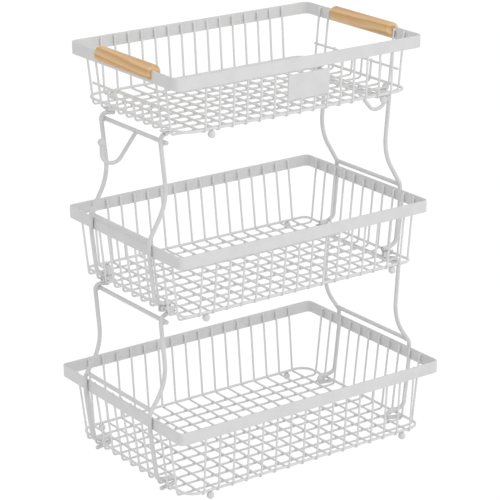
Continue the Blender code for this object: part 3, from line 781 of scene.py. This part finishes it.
def lathedSkin(stations, shut):
    # skin over round rings at (centre, heading, radius)
    shape, loops = bmesh.new(), []
    across = Vector((0, 1, 0))
    turns = [math.tau * i / socketLook["sides"] for i in range(socketLook["sides"])]
    for centre, heading, radius in stations:
        rise = heading.cross(across).normalized()
        places = [centre + (rise * math.cos(a) + across * math.sin(a)) * radius for a in turns]
        loops.append([shape.verts.new(place) for place in places])
    return skinned(shape, loops, shut)


def socketMouth(mouth, out):
    # rings round the lip of a socket, from the bore to the outside
    bore = rodLook["radius"] + airGap
    radius, ease = bore + socketLook["wall"], socketLook["ease"]
    back = mouth - out * ease
    return [
        (back, out, bore), (mouth, out, bore + ease * socketLook["flare"]),
        (mouth, out, radius - ease), (back, out, radius),
    ]


def socketEnds(grid, sign, y):
    out = Vector((sign, 0, 0))
    mouth = Vector((sign * clipEnd(grid), y, footHeight(grid)))
    return out, mouth, mouth - out * socketLook["length"]


def bottomSocket(grid, sign, y):
    # blind socket whose rod turns down and back out under the floor ring
    out, mouth, root = socketEnds(grid, sign, y)
    down = Vector((0, 0, -1))
    bore, rodRadius = rodLook["radius"] + airGap, rodLook["radius"]
    swell, half = bore + socketLook["wall"] - rodRadius, socketLook["turnDrop"] / 2
    stations = [(root, out, bore)] + socketMouth(mouth, out)
    for i in range(socketLook["turnSteps"] + 1):
        share = i / socketLook["turnSteps"]
        angle = math.pi * share
        centre = root + down * (half - half * math.cos(angle)) - out * (half * math.sin(angle))
        radius = rodRadius + swell * max(0, 1 - share / socketLook["swage"])
        stations.append((centre, out * math.cos(angle) - down * math.sin(angle), radius))
    low = root + down * socketLook["turnDrop"]
    stubX = wallHalf(grid, "end", grid["floor"]) + socketLook["stubReach"]
    stub = Vector((sign * stubX, y, grid["floor"] - socketLook["stubDrop"]))
    heading = (stub - low).normalized()
    stations += [
        (stub - heading * rodRadius * inset, -heading, rodRadius * girth) for inset, girth in reversed(easedEnd)
    ]
    return lathedSkin(stations, True)


def openSocket(grid, sign, y):
    out, mouth, root = socketEnds(grid, sign, y)
    rootRings = [(ring[0], out, ring[2]) for ring in reversed(socketMouth(root, -out))]
    return lathedSkin(socketMouth(mouth, out) + rootRings, False)


def easedEdges(shape, edge):
    bmesh.ops.bevel(shape, geom=shape.edges[:], offset=edge, segments=2, profile=0.5, affect="EDGES")
    return meshFrom(shape, "sheet", outward=True)


def sheetBlock(low, high):
    shape = bmesh.new()
    middle, size = (low + high) / 2, high - low
    matrix = Matrix.Translation(middle) @ Matrix.Diagonal((*(abs(c) for c in size), 1))
    bmesh.ops.create_cube(shape, size=1, matrix=matrix)
    return easedEdges(shape, padLook["edge"])


def carved(mesh, punch):
    # a mesh less the space of another
    sheet, tool = placed("sheet", mesh), placed("punch", punch)
    press = sheet.modifiers.new("press", "BOOLEAN")
    press.operation, press.solver, press.object = "DIFFERENCE", "EXACT", tool
    result = evaluated(sheet)
    bpy.data.objects.remove(sheet)
    bpy.data.objects.remove(tool)
    return result


def pressed(mesh, marks):
    # a sheet with a round dimple at each mark
    shape = bmesh.new()
    for mark in marks:
        bmesh.ops.create_uvsphere(
            shape, u_segments=padLook["dimpleSides"], v_segments=padLook["dimpleRings"],
            radius=padLook["dimple"], matrix=Matrix.Translation(mark),
        )
    return carved(mesh, meshFrom(shape, "punch"))


def armPad(tier, signX, signY):
    # pad over an arm, with its cheek or lip down the arm's outer side
    grid = grids[tier]
    level = "upper" if tier == "top" else "lower"
    low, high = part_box(f"{tier}_bracket_back_right")
    outerX, innerX = clipEnd(grid), clipEnd(grid) - padLook["length"]
    armX = wallHalf(grid, "end", grid["floor"]) + frameShapes[level]["armCorner"]
    turn, sheet, inset = armLook["turn"], padLook["sheet"], padLook["cheekInset"]
    cheekY = framePlace(level) - (armX - outerX) * math.tan(turn) + rodLook["radius"] / math.cos(turn) + airGap
    top = armHeight(grid) + rodLook["radius"] + airGap + padLook["thickness"]
    cheekTop = grid["floor"] + padLook["cheekRise"] if tier == "middle" else top
    lipLow = armHeight(grid) + padLook["lipRise"]
    blocks = [
        ((innerX, low.y, top - padLook["thickness"]), (outerX, high.y, top)),
        ((innerX + inset, cheekY, lipLow), (outerX - inset, cheekY + sheet, cheekTop)),
    ]
    if tier == "middle":  # the web that carries the socket
        footY, halfWeb = framePlace("upper"), padLook["web"] / 2
        webX = outerX - socketLook["length"] + airGap
        webTop = footHeight(grid) - rodLook["radius"] - 2 * airGap
        blocks.append((
            (webX, footY - halfWeb, top - padLook["thickness"] + airGap),
            (outerX - airGap, footY + halfWeb, webTop),
        ))
    flip = Vector((signX, signY, 1))
    sheets = [sheetBlock(Vector(a) * flip, Vector(b) * flip) for a, b in blocks]
    depth = padLook["dimple"] - padLook["dimpleDepth"]
    marks = [
        Vector((outerX - back, cheekY + sheet + depth, grid["floor"] + up)) * flip for back, up in dimples[tier]
    ]
    sheets[1] = pressed(sheets[1], marks)
    return sheets


for tier in tiers:
    grid, meshes, nodes = grids[tier], [], []
    for side, signY in sides.items():
        for end, signX in ends.items():
            if tier == "bottom":
                meshes.append(bottomSocket(grid, signX, signY * framePlace("lower")))
            else:
                meshes += armPad(tier, signX, signY)
            if tier == "middle":
                meshes.append(openSocket(grid, signX, signY * framePlace("upper")))
            nodes.append(f"{tier}_bracket_{side}_{end}")
    mesh = joined("brackets", meshes)
    mesh.materials.clear()
    mesh.materials.append(bracketCoat)
    show(tier + "_brackets", settle(mesh, padLook["sharp"]), tier + "_basket", nodes)
print("brackets made")


# Folded clips of the middle basket: each hooks out under the floor ring, below a foot

clipLook = {"reach": 0.0074, "half": 0.0033, "sheet": 0.0008, "edge": 0.0002}


def extruded(corners, depth):
    # a flat outline given its depth along Y
    shape = bmesh.new()
    face = shape.faces.new([shape.verts.new(corner) for corner in corners])
    far = bmesh.ops.extrude_face_region(shape, geom=[face])["geom"]
    bmesh.ops.translate(shape, vec=(0, depth, 0), verts=[v for v in far if isinstance(v, bmesh.types.BMVert)])
    return shape


def foldedClip(grid, signX, signY):
    outerX, footY = clipEnd(grid), framePlace("upper")
    half, sheet = clipLook["half"], clipLook["sheet"]
    low = armHeight(grid) + rodLook["radius"] + padLook["thickness"] + 2 * airGap
    underRing = ringHeight(grid) - ringLook["radius"] - airGap
    top = footHeight(grid) - rodLook["radius"] - airGap
    ringX, endX = ringHalf(grid, "end") + ringLook["radius"] + airGap, outerX + clipLook["reach"]
    hooked = [(outerX, low), (endX, low), (endX, top), (ringX, top), (ringX, underRing), (outerX, underRing)]
    shape = extruded([(signX * x, signY * (footY - half), z) for x, z in hooked], signY * 2 * half)
    solid = easedEdges(shape, clipLook["edge"])
    flip = Vector((signX, signY, 1))
    inside = [
        (outerX - sheet, footY - half + sheet, low + sheet),
        (endX + sheet, footY + half - sheet, top + sheet),
    ]
    return carved(solid, sheetBlock(*(Vector(corner) * flip for corner in inside)))


pairs = [(signX, signY) for signX in ends.values() for signY in sides.values()]
clips = joined("clips", [foldedClip(grids["middle"], signX, signY) for signX, signY in pairs])
clips.materials.append(bracketCoat)
show("middle_folded_clips", settle(clips, padLook["sharp"]), "middle_basket")
print("clips made")


# Banana hooks

hookLook = {
    "radius": 0.0023, "bend": 0.014, "ball": 0.0047, "ballSides": 28, "ballRings": 18,
    "path": ((0.0276, -0.0340), (0.0496, -0.0323), (0.0494, -0.0055)),  # throat, toe, tip: out and up of the bar
}

for end, sign in ends.items():
    body = f"upper_{end}_frame"
    bar = boxMiddle(f"upper_{end}_top_bar")
    bar.y = sum(c.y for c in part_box("banana_hook_" + end)) / 2
    corners = [bar + Vector((sign * out, 0, up)) for out, up in hookLook["path"]]
    lead = (corners[0] - bar).normalized()
    corners.insert(0, bar + lead * (rodLook["radius"] + airGap))
    shaft = rod(corners, [hookLook["bend"]] * 2, hookLook["radius"])
    shape = bmesh.new()
    bmesh.ops.create_uvsphere(
        shape, u_segments=hookLook["ballSides"], v_segments=hookLook["ballRings"], radius=hookLook["ball"],
    )
    bmesh.ops.translate(shape, vec=corners[-1], verts=shape.verts)
    ball = meshFrom(shape, "ball")
    ball.shade_smooth()
    show("banana_hook_rod_" + end, joined("hook", [shaft, ball]), body, ["banana_hook_" + end])
    weld = weldBeads("hook", [(bar + lead * rodLook["radius"], lead)], rodCoat)
    show("banana_hook_weld_" + end, weld, body)
print("banana hooks made")


# Hand opening rails

for end in ends:
    node = "hand_opening_rail_" + end
    rail = straightRod(node, radius=wireLook["radius"], finish=wireCoat)
    show(node + "_wire", rail, "top_basket", [node])
print("rails made")


# Wooden handles: turned bars with a saw slot over the strip

handleLook = {"round": 0.0024, "roundSteps": 6, "arcs": 56, "slot": 0.0026, "sharp": 50}


def handleMesh(low, high, stripX):
    radius = (high.z - low.z) / 2
    centre = Vector(((low.x + high.x) / 2, 0, (low.z + high.z) / 2))
    half, ease, arcs = handleLook["slot"] / 2, handleLook["round"], handleLook["arcs"]
    slotX = stripX - centre.x
    roof = grids["top"]["rimTop"] + airGap - centre.z
    inner = []
    for i in range(handleLook["roundSteps"] + 1):
        angle = math.radians(90 * i / handleLook["roundSteps"])
        inner.append((low.y + ease * (1 - math.cos(angle)), radius - ease + ease * math.sin(angle)))
    outer = [(high.y + low.y - y, r) for y, r in reversed(inner)]
    shape, loops = bmesh.new(), []
    for y, r in inner + outer:
        lowZ = [-math.sqrt(r * r - (slotX + s * half) ** 2) for s in (1, -1)]
        start = math.atan2(lowZ[0], slotX + half)
        stop = math.atan2(lowZ[1], slotX - half) + math.tau
        angles = [start + (stop - start) * i / arcs for i in range(arcs + 1)]
        loop = [(r * math.cos(angle), r * math.sin(angle)) for angle in angles]
        loop += [(slotX - half, roof), (slotX + half, roof)]
        loops.append([shape.verts.new((centre.x + x, y, centre.z + z)) for x, z in loop])
    return skinned(shape, loops, True)


for end, sign in ends.items():
    node = "handle_" + end
    low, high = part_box(node)
    wood = handleMesh(low, high, sign * (grids["top"]["length"] - stripLook["thickness"]) / 2)
    beech = lacqueredBeech("lacqueredBeech" + end.capitalize(), boxMiddle(node), woodLook["lean"] * sign)
    wood.materials.append(beech)
    show(f"wood_handle_{end}", settle(wood, handleLook["sharp"]), "top_basket", [node])
print("handles made")


# Bare plate

plateLook = {
    "thickness": 0.001, "corner": 0.0016, "cornerSteps": 6, "edge": 0.0003,
    "rimAngle": 1.2, "sharp": 40,  # edges turned by more than this, in radians, are eased
}


def plateMesh():
    # as tall as the CAD plate's box allows at the lean of the wires; corners are clipped round
    low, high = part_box("label_plate")
    grid = grids["top"]
    lean = math.atan2(grid["sideLean"], wireTop(grid) - grid["floor"])
    height = (high.z - low.z - plateLook["thickness"] * math.sin(lean)) / math.cos(lean)
    halfX, halfZ, halfY = (high.x - low.x) / 2, height / 2, plateLook["thickness"] / 2
    corner, steps = plateLook["corner"], plateLook["cornerSteps"]
    outline = []
    for x, z, first in ((1, -1, -90), (1, 1, 0), (-1, 1, 90), (-1, -1, 180)):
        for i in range(steps + 1):
            angle = math.radians(first + 90 * i / steps)
            roundX, roundZ = corner * math.cos(angle), corner * math.sin(angle)
            outline.append((x * (halfX - corner) + roundX, -halfY, z * (halfZ - corner) + roundZ))
    shape = extruded(outline, 2 * halfY)
    bmesh.ops.recalc_face_normals(shape, faces=shape.faces)
    rims = [e for e in shape.edges if len(e.link_faces) == 2 and e.calc_face_angle() > plateLook["rimAngle"]]
    bmesh.ops.bevel(shape, geom=rims, offset=plateLook["edge"], segments=2, profile=0.6, affect="EDGES")
    bmesh.ops.transform(shape, matrix=Matrix.Rotation(lean, 4, "X"), verts=shape.verts)
    bmesh.ops.translate(shape, vec=(low + high) / 2, verts=shape.verts)
    mesh = meshFrom(shape, "plate")
    mesh.materials.append(plateCoat)
    return settle(mesh, plateLook["sharp"])


show("bare_plate", plateMesh(), "top_basket", ["label_plate"])
print("plate made")


# Table, light and camera

tableLook = {
    "colour": "#f4f4f4", "roughness": 0.9, "glow": 1.08,
    "glowShare": 0.86,  # the rest shows the shadow of the basket
    "half": 3.0, "cells": 8, "drop": 0.0002,
}
floorMaterial, tree, shader = newMaterial("whiteTable")
shader.inputs["Base Color"].default_value = linear(tableLook["colour"])
shader.inputs["Roughness"].default_value = tableLook["roughness"]
rays = addNode(tree, "ShaderNodeLightPath").outputs
seen = addNode(tree, "ShaderNodeMath", {
    0: rays["Is Camera Ray"], 1: rays["Is Glossy Ray"],
}, operation="MAXIMUM")
seenThrough = addNode(tree, "ShaderNodeMath", {
    0: seen.outputs[0], 1: rays["Is Transmission Ray"],
}, operation="MAXIMUM")
share = addNode(tree, "ShaderNodeMath", {
    0: seenThrough.outputs[0], 1: tableLook["glowShare"],
}, operation="MULTIPLY")
glow = addNode(tree, "ShaderNodeEmission", {"Color": pureWhite, "Strength": tableLook["glow"]})
blend = addNode(tree, "ShaderNodeMixShader", {0: share.outputs[0], 1: shader.outputs[0], 2: glow.outputs[0]})
tree.links.new(blend.outputs[0], tree.nodes["Material Output"].inputs["Surface"])
shape = bmesh.new()
cells = tableLook["cells"]
bmesh.ops.create_grid(shape, x_segments=cells, y_segments=cells, size=tableLook["half"])
bmesh.ops.translate(shape, vec=(0, 0, -tableLook["drop"]), verts=shape.verts)
table = meshFrom(shape, "table")
table.materials.append(floorMaterial)
floor = placed("table", table)

lightLook = {
    "sky": 0.78,
    "keyBox": {"place": (0.6, -2.4, 1.6), "size": 1.6, "power": 13.0},
    "fillBox": {"place": (-2.2, -0.6, 1.6), "size": 1.8, "power": 1.0},
    "aim": (0, 0, 0.25),
}
world = bpy.data.worlds.new("studio")
world.use_nodes = True
bpy.context.scene.world = world
tree = world.node_tree
rays = addNode(tree, "ShaderNodeLightPath").outputs
seen = addNode(tree, "ShaderNodeMath", {
    0: rays["Is Camera Ray"], 1: rays["Is Transmission Ray"],
}, operation="MAXIMUM")
sky = tree.nodes["Background"]
sky.inputs["Color"].default_value = pureWhite
sky.inputs["Strength"].default_value = lightLook["sky"]
white = addNode(tree, "ShaderNodeBackground", {"Color": pureWhite, "Strength": 1.0})
mixed = addNode(tree, "ShaderNodeMixShader", {0: seen.outputs[0], 1: sky.outputs[0], 2: white.outputs[0]})
tree.links.new(mixed.outputs[0], tree.nodes["World Output"].inputs["Surface"])

for name in ("keyBox", "fillBox"):
    look = lightLook[name]
    lamp = bpy.data.lights.new(name, "AREA")
    lamp.shape, lamp.size, lamp.energy = "DISK", look["size"], look["power"]
    softbox = placed(name, lamp)
    softbox.location = look["place"]
    aim = Vector(lightLook["aim"]) - Vector(look["place"])
    softbox.rotation_euler = aim.to_track_quat("-Z", "Y").to_euler()

cameraLook = {
    "azimuth": -34.916, "elevation": 19.017, "roll": -0.626,
    "lens": 155.645, "sensor": 36.0, "place": (-1.4860, -2.1342, 1.1524),
    "left": 0.0017,  # sideways step that frames the basket as the photograph does
}
azimuth, elevation, roll = (math.radians(cameraLook[k]) for k in ("azimuth", "elevation", "roll"))
right = Vector((math.cos(azimuth), math.sin(azimuth), 0))
flat = math.cos(elevation)
ahead = Vector((-math.sin(azimuth) * flat, math.cos(azimuth) * flat, -math.sin(elevation)))
up = right.cross(ahead)
rightRolled = right * math.cos(roll) + up * math.sin(roll)
upRolled = up * math.cos(roll) - right * math.sin(roll)
camera = placed("camera", bpy.data.cameras.new("camera"))
camera.data.lens, camera.data.sensor_width = cameraLook["lens"], cameraLook["sensor"]
turn = Matrix((rightRolled, upRolled, -ahead)).transposed()
place = Vector(cameraLook["place"]) - rightRolled * cameraLook["left"]
camera.matrix_world = Matrix.Translation(place) @ turn.to_4x4()
bpy.context.scene.camera = camera
bpy.context.scene.view_settings.view_transform = "Standard"
print("stage made")
